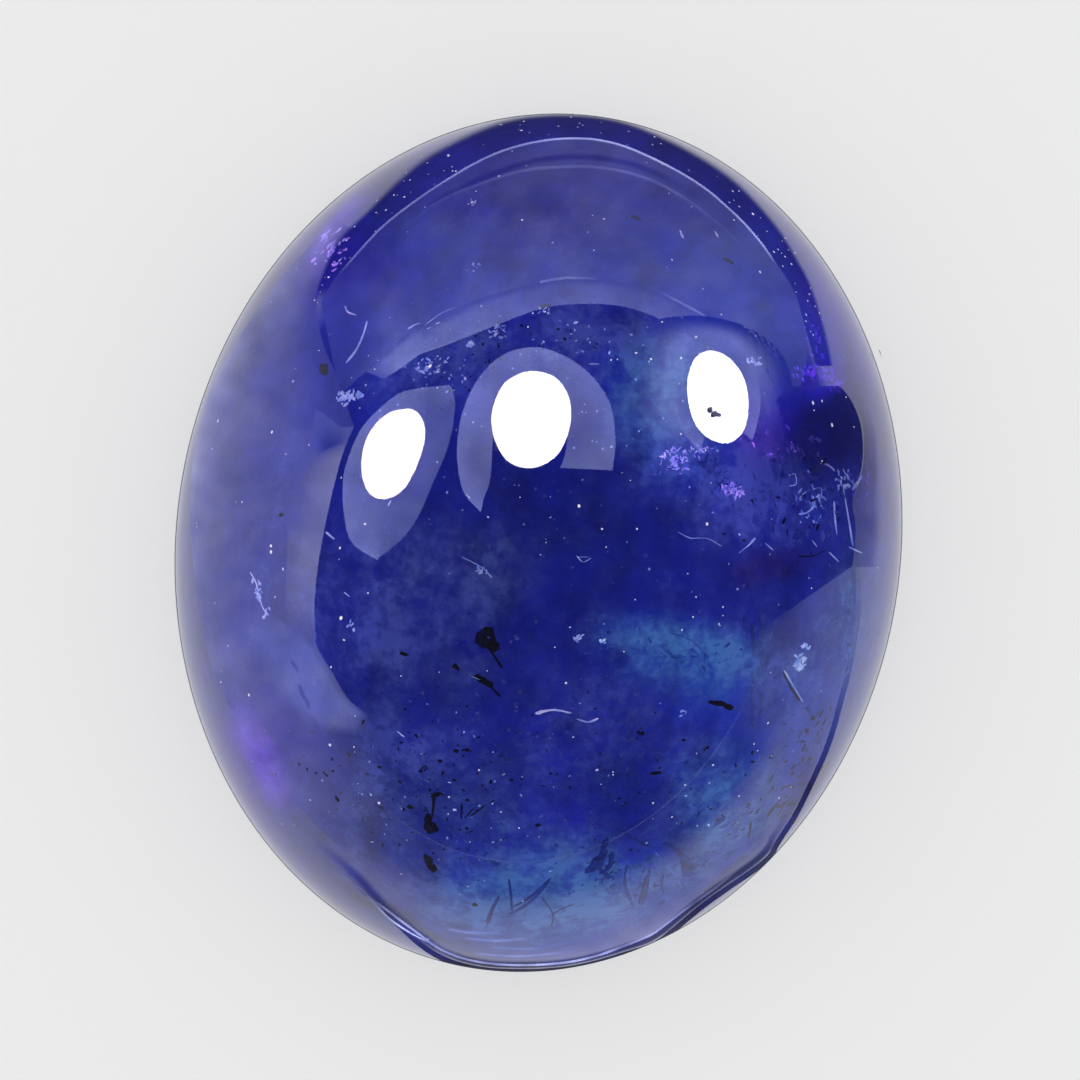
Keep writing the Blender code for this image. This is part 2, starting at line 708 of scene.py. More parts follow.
@dataclass(frozen=True)
class Studio:
    """Pale floor, pale surroundings for what shines through, and dim ones for what the polish mirrors."""

    pale: float = 0.84
    dim: float = 0.07
    floor_half: float = 1.0
    floor_drop: float = 0.02 * MM
    floor_albedo: float = 0.35
    floor_glow: float = 0.55

    def build_world(self) -> None:
        """Light the scene softly from all round."""
        world = bpy.data.worlds.new("soft studio")
        bpy.context.scene.world = world
        world.use_nodes = True
        bench = NodeBench(world.node_tree)
        path = bench.add("LightPath").outputs
        not_diffuse = bench.math("SUBTRACT", 1.0, path["Is Diffuse Ray"])
        mirrored = bench.math("MULTIPLY", path["Is Reflection Ray"], not_diffuse)
        glow = bench.ramp(mirrored, (0.0, 1.0), (self.pale, self.dim))
        sky = bench.add("Background", {"Color": opaque((1.0, 1.0, 1.0)), "Strength": glow})
        bench.add("OutputWorld", {"Surface": sky.outputs[0]})

    def build_floor(self) -> bpy.types.Object:
        """Lay the floor just under the stone.

        Returns:
            The floor.
        """
        material, bench = new_bench("pale floor")
        dress_plainly(material, bench, {
            "Base Color": opaque((self.floor_albedo,) * 3),
            "Roughness": 1.0,
            "Specular IOR Level": 0.0,
            "Emission Color": opaque((1.0, 1.0, 1.0)),
            "Emission Strength": self.floor_glow,
        })
        shape = bmesh.new()
        bmesh.ops.create_grid(shape, x_segments=8, y_segments=8, size=self.floor_half)
        bmesh.ops.translate(shape, vec=(0.0, 0.0, -self.floor_drop), verts=shape.verts)
        floor = new_object("floor", shape, material)
        return floor


@dataclass(frozen=True)
class Card:
    """A sheet in the studio that only the polish mirrors, placed by where its reflection shows.

    One long edge of the reflection follows near_edge and the other follows far_edge, and both run the
    same way. The glow is given at the near edge's start and end, and then at the far edge's. Softness
    is the share of the card over which it fades, at the near edge, far edge, start and end. A clear card
    fades to what lies behind it, and any other card to rest.
    """

    name: str
    near_edge: list[Pixel]
    far_edge: list[Pixel]
    glow: tuple[float, float, float, float]
    reach: float = 80.0 * MM
    hover: float = 0.96
    soft: tuple[float, float, float, float] = (0.0, 0.0, 0.0, 0.0)
    rest: float = 0.07
    cloud: float = 0.3
    light: Light = Light.COOL
    clear: bool = False
    columns: int = 64
    rows: int = 16
    cloud_scale: float = 0.022
    wisp_scale: float = 0.06
    wisp: float = 0.6

    def cover(self, along: float, across: float) -> float:
        """Share of the card's own light at one place, which falls to none over its soft edges.

        Args:
            along: Share of the way from start to end.
            across: Share of the way from the near edge to the far edge.

        Returns:
            The share, from 0 to 1.
        """
        share = 1.0
        for width, inside in zip(self.soft, (across, 1.0 - across, along, 1.0 - along)):
            if width > 0.0:
                share *= ease(min(inside / width, 1.0))
        return share

    def level(self, along: float, across: float, pixel: Pixel) -> float:
        """Glow at one place of the card before its edges are softened.

        Args:
            along: Share of the way from start to end.
            across: Share of the way from the near edge to the far edge.
            pixel: The pixel that shows it.

        Returns:
            The strength of the light there.
        """
        plain = between(between(*self.glow[:2], along), between(*self.glow[2:], along), across)
        place = Vector((pixel[0], pixel[1], 0.0))
        cloud = noise.noise(place * self.cloud_scale) + self.wisp * noise.noise(place * self.wisp_scale)
        return plain * (1.0 + self.cloud * cloud)

    def build(self, sighting: Sighting, material: bpy.types.Material) -> bpy.types.Object:
        """Build the card.

        Args:
            sighting: Turns pixels into places.
            material: The glowing finish.

        Returns:
            The card.
        """
        near = smooth_line(self.near_edge, self.columns + 1)
        far = smooth_line(self.far_edge, self.columns + 1)
        shape = bmesh.new()
        glow = shape.verts.layers.float.new("glow")
        gap = shape.verts.layers.float.new("gap")
        grid = bmesh.ops.create_grid(shape, x_segments=self.columns, y_segments=self.rows, size=0.5)["verts"]
        for vert in grid:
            along = vert.co.x + 0.5
            across = vert.co.y + 0.5
            column = round(along * self.columns)
            pixel = tuple(between(near[column][axis], far[column][axis], across) for axis in (0, 1))
            share = self.cover(along, across)
            plain = self.level(along, across, pixel)
            vert[glow] = plain if self.clear else between(self.rest, plain, share)
            vert[gap] = 1.0 - share if self.clear else 0.0
            vert.co = sighting.mirrored(pixel, self.reach, self.hover)
        return new_sheet(self.name, shape, material)


@dataclass(frozen=True)
class Streak:
    """A narrow light or dark line in the polish, along a few pixels."""

    name: str
    points: list[Pixel]
    width: float
    glow: tuple[float, float]
    hover: float = 0.9
    reach: float = 74.0 * MM
    soft: tuple[float, float, float, float] = (0.0, 0.0, 0.0, 0.0)
    cloud: float = 0.5
    light: Light = Light.COOL
    steps: int = 24
    columns: int = 96
    rows: int = 6

    def card(self) -> Card:
        """Turn the streak into a card.

        Returns:
            The thin clear card whose reflection is the streak.
        """
        line = smooth_line(self.points, self.steps)
        side = beside(line, self.width)
        return Card(
            self.name, line, side, self.glow * 2, self.reach, self.hover, self.soft, cloud=self.cloud,
            light=self.light, clear=True, columns=self.columns, rows=self.rows)


@dataclass(frozen=True)
class Pool:
    """The edge of the lit floor: a ring just over it, which fades to dark, seen only in the polish."""

    inner: float = 11.0 * MM
    outer: float = 600.0 * MM
    fade_left: float = 24.0 * MM
    fade_right: float = 14.0 * MM
    fade_down: float = 21.0 * MM
    fade_up: float = 12.5 * MM
    bright: float = 0.84
    dark: float = 0.1
    lift: float = 0.03 * MM
    segments: int = 96
    rings: int = 24

    def build(self, material: bpy.types.Material) -> bpy.types.Object:
        """Build the ring by extruding a circle outwards again and again.

        Args:
            material: The glowing finish.

        Returns:
            The ring.
        """
        shape = bmesh.new()
        glow = shape.verts.layers.float.new("glow")
        bmesh.ops.create_circle(shape, segments=self.segments, radius=self.inner, cap_ends=False)
        edges = list(shape.edges)
        growth = (self.outer / self.inner) ** (1.0 / self.rings)
        for _ in range(self.rings):
            edges = grow_ring(shape, edges, (growth, growth, 1.0))[1]
        for vert in shape.verts:
            out = vert.co.xy.normalized()
            fade_at = between(self.fade_left, self.fade_right, min(max(0.5 + out.x, 0.0), 1.0))
            fade_at = between(fade_at, self.fade_down, max(-out.y, 0.0))
            fade_at = between(fade_at, self.fade_up, max(out.y, 0.0))
            reached = (vert.co.xy.length - self.inner) / (fade_at - self.inner)
            vert[glow] = between(self.bright, self.dark, min(max(reached, 0.0), 1.0))
        bmesh.ops.translate(shape, vec=(0.0, 0.0, self.lift), verts=shape.verts)
        bmesh.ops.recalc_face_normals(shape, faces=shape.faces)
        return new_sheet("pool_of_light", shape, material)


@dataclass(frozen=True)
class ContactLine:
    """The thin shade round the foot of the stone, which draws its outline in the polish."""

    half_width: float
    half_length: float
    width: float = 0.2 * MM
    shade: float = 0.2
    lift: float = 0.01 * MM
    segments: int = 160

    def build(self, material: bpy.types.Material) -> bpy.types.Object:
        """Build the ring from an oval and one extrusion outwards.

        Args:
            material: The glowing finish.

        Returns:
            The ring.
        """
        shape = bmesh.new()
        glow = shape.verts.layers.float.new("glow")
        oval = bmesh.ops.create_circle(shape, segments=self.segments, radius=1.0, cap_ends=False)["verts"]
        bmesh.ops.scale(shape, vec=(self.half_width, self.half_length, 1.0), verts=oval)
        growth = (1.0 + self.width / self.half_width, 1.0 + self.width / self.half_length, 1.0)
        grow_ring(shape, list(shape.edges), growth)
        for vert in shape.verts:
            vert[glow] = self.shade
        bmesh.ops.translate(shape, vec=(0.0, 0.0, self.lift), verts=shape.verts)
        bmesh.ops.recalc_face_normals(shape, faces=shape.faces)
        return new_sheet("contact_line", shape, material)


@dataclass(frozen=True)
class Lamp:
    """A studio lamp, placed by the outline that its reflection makes."""

    name: str
    outline: list[Pixel]
    glow: float = 20.0
    reach: float = 60.0 * MM
    sides: int = 72

    def build(self, sighting: Sighting, material: bpy.types.Material) -> bpy.types.Object:
        """Build the lamp's face.

        Args:
            sighting: Turns pixels into places.
            material: The glowing finish.

        Returns:
            The lamp.
        """
        line = smooth_ring(self.outline, self.sides)
        shape = bmesh.new()
        glow = shape.verts.layers.float.new("glow")
        ring = bmesh.ops.create_circle(shape, segments=self.sides, radius=1.0, cap_ends=True)["verts"]
        for vert, pixel in zip(ring, line):
            vert[glow] = self.glow
            vert.co = sighting.mirrored(pixel, self.reach)
        return new_sheet(self.name, shape, material)


def new_sheet(name: str, shape: bmesh.types.BMesh, material: bpy.types.Material) -> bpy.types.Object:
    """Link a sheet or lamp that only mirrored rays see.

    Args:
        name: The object's name.
        shape: Its bmesh, which is freed.
        material: The glowing finish.

    Returns:
        The new object.
    """
    sheet = new_object(name, shape, material)
    sheet.visible_camera = False
    sheet.visible_diffuse = False
    sheet.visible_transmission = False
    sheet.visible_shadow = False
    sheet.visible_volume_scatter = False
    return sheet


def glow_material(name: str, colour: Colour) -> bpy.types.Material:
    """Plain light whose strength is read from the mesh, and which is clear where the mesh has a gap.

    Args:
        name: The material's name.
        colour: Colour of the light.

    Returns:
        The material.
    """
    material, bench = new_bench(name)
    glow = bench.add("Attribute", attribute_name="glow").outputs["Fac"]
    gap = bench.add("Attribute", attribute_name="gap").outputs["Fac"]
    light = bench.add("Emission", {"Color": opaque(colour), "Strength": glow})
    mixed = bench.add("MixShader", {0: gap, 1: light.outputs[0], 2: bench.add("BsdfTransparent").outputs[0]})
    bench.add("OutputMaterial", {"Surface": mixed.outputs[0]})
    material.cycles.emission_sampling = "NONE"
    return material


LAMPS = [
    Lamp("lamp_middle", [(537, 371.5), (557, 379), (570, 401), (569, 430), (556, 456), (532, 468), (509,
         462), (495, 441), (491.5, 413), (502, 386), (519, 374)]),
    Lamp("lamp_right", [(709, 350.5), (728, 357), (743, 377), (748, 404), (743, 430), (727, 442.5), (706,
         436), (692, 416), (687.5, 385), (694, 360)]),
    Lamp("lamp_left", [(407, 408.5), (420, 415), (425, 433), (419, 460), (404, 488), (384, 498.5), (368,
         491), (361.5, 466), (367, 437), (385, 415)]),
]

STRIP_LINE = [
    (366, 372), (387, 352), (410, 333), (435, 322), (479, 299), (540, 283), (579, 279), (620, 283),
    (663, 294), (699, 314), (724, 330),
]
STRIP_EDGE = [
    (384, 379), (403, 367), (420, 355), (443, 347), (483, 331), (540, 309), (579, 304), (620, 306),
    (655, 317), (690, 337), (705, 346),
]
TOP_LINE = [
    (321, 303), (335, 278), (360, 249), (390, 219), (443, 181), (499, 151), (560, 138), (620, 144),
    (690, 177), (732, 210), (760, 240), (778, 266), (795, 294), (807, 335),
]
TOP_EDGE = [
    (314, 302), (319, 279), (336, 240), (368, 208), (397, 177), (430, 151), (502, 118), (580, 112),
    (640, 124), (724, 169), (775, 220), (800, 260), (814, 289), (828, 335),
]
INNER_EDGE = [
    (354, 426), (343, 452), (333, 489), (326, 521), (318, 565), (314, 608), (316, 644), (333, 674),
    (349, 700), (372, 716),
]
LEFT_RIM = [
    (196, 440), (192, 470), (190, 500), (191, 545), (196, 590), (205, 640), (218, 682), (240, 724),
    (268, 768),
]
TOP_RIM = [(196, 440), (206, 400), (222, 366), (246, 326), (274, 286), (304, 252), (336, 222)]
LOW_LINE = [
    (855.5, 500), (855.5, 560), (855.5, 610), (846.5, 667), (839, 697), (831, 727), (822, 753), (807, 786),
    (793, 814), (776, 840), (764, 859), (720, 890), (697, 907), (673, 927), (653, 942), (620, 953),
    (593, 961), (560, 967), (520, 969), (477, 966), (440, 954), (408, 930), (367, 886), (311, 848),
]
LOW_BRIGHT = [
    (748, 858), (721, 882), (692, 903), (668, 921), (650, 934), (618, 947), (592, 956), (560, 962),
    (520, 964), (480, 961), (444, 950), (410, 926), (382, 905), (360, 890),
]
LAMP_SHADE = [
    (700, 452), (680, 425), (676, 390), (684, 352), (708, 334), (735, 342), (754, 370), (760, 405),
    (752, 440),
]

CARDS = [
    Card("card_strip", STRIP_EDGE, STRIP_LINE, (2.0, 0.9, 1.2, 0.85), soft=(0.0, 0.3, 0.1, 0.0), rest=0.7),
    Card("card_top", [(340, 395)] + STRIP_LINE[1:] + [(745, 352), (757, 382), (764, 415)], TOP_LINE[:-1] +
         [(806, 330), (806, 365), (796, 400)], (0.8, 0.9, 0.10, 0.36), soft=(0.0, 0.0, 0.12, 0.3), rest=0.3,
         cloud=0.5),
    Card("card_left", INNER_EDGE, LEFT_RIM, (0.8, 0.85, 0.85, 0.8), soft=(0.0, 0.0, 0.0, 0.12),
         light=Light.LAVENDER, clear=True),
    Card("card_left_foot", [(352, 690), (384, 734), (416, 790), (446, 836), (500, 880)], [(246, 728), (268,
         768), (302, 810), (340, 848), (408, 900)], (0.8, 0.2, 0.8, 0.6), hover=0.97, soft=(0.6, 0.0, 0.06,
         0.5), light=Light.LAVENDER, clear=True),
    Card("card_left_top", [(354, 426), (345, 400), (334, 370), (322, 340), (317, 302), (328, 262), (352,
         228)], TOP_RIM, (0.75, 0.4, 0.85, 0.8), soft=(0.45, 0.0, 0.0, 0.3), rest=0.4, light=Light.LAVENDER),
    Card("card_left_notch", [(346, 430), (340, 452), (330, 458)], [(316, 408), (312, 440), (320, 462)],
         (0.25, 0.3, 0.5, 0.3), reach=78.0 * MM, hover=0.94, soft=(0.1, 0.5, 0.5, 0.1), rest=0.75),
    Card("card_left_bright", [(348, 440), (343, 452), (333, 489), (326, 521), (318, 565), (314, 608), (316,
         640)], [(300, 460), (288, 475), (275, 500), (268, 540), (266, 580), (266, 610), (276, 640)], (2.3,
         1.6, 1.0, 1.0), reach=76.0 * MM, hover=0.93, soft=(0.0, 0.8, 0.3, 0.3), rest=0.85,
         light=Light.LAVENDER),
    Card("card_left_low", [(262, 606), (285, 620), (315, 644), (333, 675), (350, 700), (371, 716)], [(228,
         610), (240, 645), (260, 680), (283, 707), (318, 731), (372, 738)], (1.2, 1.45, 1.2, 1.4), reach=74.0
         * MM, hover=0.91, soft=(0.15, 0.4, 0.4, 0.2), clear=True),
    Card("card_middle_lamp", [(481, 512), (463, 490), (457, 450), (463, 410), (480, 376), (505, 354), (537,
         347.5), (568, 358), (594, 378), (611, 405), (616, 440), (613, 470)], [(484, 498), (490, 480), (492,
         450), (494, 425), (499, 400), (512, 385), (532, 380), (552, 385), (562, 400), (567, 425), (566,
         450), (560, 468)], (2.0, 1.4, 1.5, 1.4), reach=70.0 * MM),
    Card("card_left_lamp", [(377, 560), (352, 543), (344, 515), (343, 480), (349, 455), (362, 427), (382,
         406), (405, 391), (449, 385)], [(379, 558), (402, 539), (418, 517), (432, 485), (446, 452), (452,
         430), (454, 415), (455, 402), (452, 388)], (1.9, 1.5, 0.8, 1.1), reach=70.0 * MM),
    Card("card_right_lamp", LAMP_SHADE, [(690, 480), (640, 440), (622, 390), (640, 330), (690, 316), (745,
         326), (785, 360), (792, 420), (765, 470)], (1.4, 1.6, 0.4, 0.3), reach=72.0 * MM, soft=(0.0, 0.9,
         0.2, 0.3), rest=0.1),
    Card("card_right_lamp_rim", [(706, 430), (698, 414), (694, 385), (698, 362), (709, 357), (724, 362),
         (738, 379), (742, 404), (738, 428)], LAMP_SHADE, (1.0, 1.2, 1.4, 1.6), reach=71.0 * MM),
    Card("card_left_violet", [(266, 680), (278, 730), (300, 775), (330, 820)], [(214, 690), (228, 738), (248,
         784), (284, 834)], (1.0, 1.0, 0.95, 0.95), hover=0.94, soft=(0.5, 0.4, 0.4, 0.4),
         light=Light.VIOLET, clear=True),
    Card("card_top_violet", [(334, 292), (338, 262), (356, 228), (388, 192)], [(296, 284), (304, 250), (326,
         214), (362, 178)], (0.9, 0.9, 0.95, 0.95), hover=0.93, soft=(0.5, 0.4, 0.4, 0.4),
         light=Light.VIOLET, clear=True),
    Card("flag_top", TOP_LINE + [(816, 366)], TOP_EDGE + [(834, 366)], (0.06, 0.06, 0.03, 0.03), reach=20.0 *
         MM, hover=0.92, soft=(0.0, 0.22, 0.05, 0.0), cloud=0.0, clear=True),
    Card("flag_right", [(764, 628), (745, 570), (735, 500), (750, 430), (790, 386)], [(853, 566), (856, 530),
         (853, 502), (859, 480), (863, 456), (861, 426), (852, 402), (840, 386)], (0.05, 0.05, 0.05, 0.05),
         hover=0.9, soft=(0.2, 0.0, 0.0, 0.08), rest=0.12, cloud=0.0),
    Card("flag_right_side", [(853, 567), (856, 530), (853, 502), (860, 480), (864, 456), (862, 420), (850,
         396)], [(879, 567), (882, 530), (883, 502), (882, 480), (880, 456), (876, 425), (866, 396)], (0.38,
         0.3, 0.45, 0.45), hover=0.93, soft=(0.0, 0.4, 0.0, 0.5), rest=0.8, light=Light.NEUTRAL),
    Card("card_right_low", LOW_LINE[1:22], [(765, 627), (728, 656), (715, 690), (722, 720), (738, 742), (744,
         765), (740, 785), (730, 803), (716, 818), (704, 832), (690, 843), (668, 860), (646, 876), (628,
         888), (608, 897), (586, 905), (552, 910), (515, 912), (478, 910), (445, 900), (415, 886)], (0.45,
         0.78, 0.6, 0.75), hover=0.93, soft=(0.0, 0.7, 0.0, 0.25), light=Light.LAVENDER, clear=True),
]

STREAKS = [
    Streak("streak_top", TOP_LINE[1:-2], -2.4, (1.1, 1.8), soft=(0.0, 0.4, 0.1, 0.1)),
    Streak("gap_top", [(400, 226), (440, 194), (510, 163), (560, 153), (610, 155), (660, 170), (708, 200)],
         -9.0, (0.1, 0.14), soft=(0.4, 0.4, 0.25, 0.25), reach=77.0 * MM),
    Streak("streak_top_second", [(392, 236), (440, 199), (510, 172), (560, 165), (610, 167), (660, 182),
         (712, 216), (760, 262)], -4.0, (0.6, 0.7), soft=(0.2, 0.4, 0.3, 0.3)),
    Streak("streak_strip_left", [(540, 283), (566, 279), (597, 280)], 2.5, (2.2, 0.9)),
    Streak("streak_strip_right", [(655, 291), (699, 314), (724, 330)], 2.6, (1.6, 3.4), soft=(0.3, 0.3, 0.3,
         0.0)),
    Streak("line_low", LOW_LINE, 5.5, (0.08, 0.05), hover=0.88, soft=(0.0, 0.0, 0.25, 0.1),
         light=Light.NEUTRAL),
    Streak("line_low_inner", LOW_LINE[7:23], -9.0, (0.1, 0.1), hover=0.89, soft=(0.2, 0.4, 0.2, 0.2),
         light=Light.NEUTRAL),
    Streak("line_low_left", [(440, 957), (412, 938), (384, 914), (350, 878), (306, 842)], -13.0, (0.14, 0.2),
         hover=0.87, soft=(0.35, 0.5, 0.2, 0.3), light=Light.LAVENDER),
    Streak("line_low_left_bright", [(436, 945), (412, 933), (390, 918), (368, 896), (344, 876)], 1.5, (1.1,
         1.3), hover=0.85, soft=(0.0, 0.0, 0.2, 0.2), cloud=1.6),
    Streak("line_low_bright", LOW_BRIGHT, 2.2, (0.6, 1.0), hover=0.86, soft=(0.0, 0.0, 0.2, 0.1), cloud=1.2),
    Streak("streak_low_1", [(444, 926), (470, 931), (502, 931)], -3.5, (1.2, 0.8), hover=0.84, soft=(0.3,
         0.3, 0.3, 0.5)),
    Streak("streak_low_2", [(460, 936), (498, 939), (534, 936)], -3.5, (1.0, 1.0), hover=0.84, soft=(0.3,
         0.3, 0.3, 0.3)),
    Streak("streak_low_3", [(484, 945), (530, 947), (585, 938)], -3.0, (0.9, 0.8), hover=0.84, soft=(0.3,
         0.3, 0.3, 0.3)),
    Streak("streak_low_4", [(470, 952), (520, 955), (570, 950)], -2.5, (1.1, 0.9), hover=0.84, soft=(0.3,
         0.3, 0.3, 0.3)),
]


@dataclass(frozen=True)
class InclusionFinish:
    """Matte finish of what is sealed in the crystal, with a cloudy change of tone and a painted glint:
    emission in the same tone that stands in for light the sealed thing catches.
    """

    name: str
    dark: Colour
    light: Colour
    roughness: float = 0.6
    cloud_scale: float = 6000.0
    painted_glint: float = 0.0
    cloud_range: Span = (0.35, 0.65)
    specular: float = 0.3

    def material(self) -> bpy.types.Material:
        """Build the finish.

        Returns:
            The material.
        """
        material, bench = new_bench(self.name)
        place = bench.add("TexCoord").outputs["Object"]
        cloud = bench.noise(place, self.cloud_scale, 3.0).outputs["Fac"]
        tone = bench.blend(bench.ramp(cloud, self.cloud_range), opaque(self.dark), opaque(self.light))
        return dress_plainly(material, bench, {
            "Base Color": tone,
            "Roughness": self.roughness,
            "Specular IOR Level": self.specular,
            "Emission Color": tone,
            # Painted glint: the sealed thing glows in its own tone, though no lamp lights it there.
            "Emission Strength": self.painted_glint,
        })


@dataclass(frozen=True)
class HazeFinish:
    """Thin broken haze of tiny bubbles, which is thicker where the haze attribute says so, with a faint
    painted glow: emission that stands in for light scattered in it.
    """

    name: str
    colour: Colour
    glow: float = 0.1
    cloud_scale: float = 1900.0
    cloud_levels: Span = (0.15, 1.5)
    grain_scale: float = 7000.0
    grain_levels: Span = (0.55, 1.5)
    fibre_scale: float = 2600.0
    fibre_stretch: Scale = (1.0, 0.12, 0.3)
    fibre_levels: Span = (0.6, 1.4)
    noise_range: Span = (0.34, 0.68)
    fibre_range: Span = (0.35, 0.65)
    roughness: float = 0.9

    def material(self) -> bpy.types.Material:
        """Build the finish.

        Returns:
            The material.
        """
        material, bench = new_bench(self.name)
        place = bench.add("TexCoord").outputs["Object"]
        drawn = bench.add("Mapping", {"Vector": place, "Scale": self.fibre_stretch}).outputs[0]
        cloud = bench.noise(place, self.cloud_scale, 7.0, 0.7).outputs["Fac"]
        grain = bench.noise(place, self.grain_scale, 4.0).outputs["Fac"]
        fibre = bench.noise(drawn, self.fibre_scale, 3.0).outputs["Fac"]
        clouds = bench.ramp(cloud, self.noise_range, self.cloud_levels)
        grains = bench.ramp(grain, self.noise_range, self.grain_levels)
        fibres = bench.ramp(fibre, self.fibre_range, self.fibre_levels)
        thick = bench.add("Attribute", attribute_name="haze").outputs["Fac"]
        broken = bench.math("MULTIPLY", fibres, grains)
        alpha = bench.math("MULTIPLY", bench.math("MULTIPLY", thick, clouds), broken)
        return dress_plainly(material, bench, {
            "Base Color": opaque(self.colour),
            "Roughness": self.roughness,
            "Specular IOR Level": 0.0,
            "Emission Color": opaque(self.colour),
            # Painted glow: the haze gives faint light of its own colour.
            "Emission Strength": self.glow,
            "Alpha": alpha,
        })


@dataclass(frozen=True)
class HazeSpot:
    """A cloudy place in a haze: its middle and half axes in pixels, how thick it is, and its lean."""

    middle: Pixel
    half_axes: Pixel
    amount: float
    lean: float = 0.0

    def at(self, pixel: Pixel) -> float:
        """Thickness that the spot adds at a pixel.

        Args:
            pixel: The place.

        Returns:
            The amount in the middle, which fades to nothing at the oval's edge.
        """
        lean = math.radians(self.lean)
        right = pixel[0] - self.middle[0]
        down = pixel[1] - self.middle[1]
        across = (right * math.cos(lean) + down * math.sin(lean)) / self.half_axes[0]
        along = (down * math.cos(lean) - right * math.sin(lean)) / self.half_axes[1]
        return self.amount * ease(max(1.0 - math.hypot(across, along), 0.0))


HAZE_SPOTS = [HazeSpot(*row) for row in (
    ((400, 610), (155, 130), 0.75), ((480, 565), (90, 60), 0.60), ((600, 720), (150, 100), 0.36),
    ((400, 785), (180, 90), 0.50), ((540, 790), (120, 80), 0.18), ((580, 345), (160, 60), 0.90),
    ((430, 360), (100, 70), 0.90, -30.0), ((655, 400), (80, 110), 0.58), ((690, 465), (90, 60), 0.58),
    ((770, 425), (60, 60), 0.36), ((755, 490), (110, 80), 0.85), ((695, 655), (165, 50), 0.85, 10.0),
    ((785, 690), (90, 120), 0.35), ((560, 905), (300, 105), 1.05), ((755, 835), (150, 90), 1.15, 45.0),
    ((400, 870), (120, 50), 0.30, 30.0), ((860, 620), (60, 130), 0.60), ((560, 210), (300, 120), 0.22),
    ((250, 560), (110, 260), 0.22), ((395, 745), (70, 45), 0.70, 20.0), ((238, 775), (60, 120), 1.10, -25.0),
    ((290, 250), (50, 90), 0.60, 40.0), ((850, 320), (50, 110), 0.70, -25.0), ((865, 480), (40, 60), 0.60),
)]


@dataclass(frozen=True)
class Grain:
    """One lump in the stone: its pixel, half sizes in pixels, lean in degrees and depth."""

    middle: Pixel
    half_axes: Pixel
    lean: float = 0.0
    depth: Depth = Depth.SHALLOW


@dataclass(frozen=True)
class Thread:
    """One thin line in the stone: the pixels it passes, its width in pixels and its depth."""

    points: list[Pixel]
    width: float = 1.6
    depth: Depth = Depth.SHALLOW


@dataclass(frozen=True)
class Swarm:
    """Many small shards in an oval of the picture.

    Their length is in pixels, and spread is how far their depths differ, as a share of the depth.
    """

    middle: Pixel
    half_axes: Pixel
    count: int
    length: float
    slim: float = 0.3
    lean: float = 0.0
    depth: Depth = Depth.SHALLOW
    spread: float = 0.4


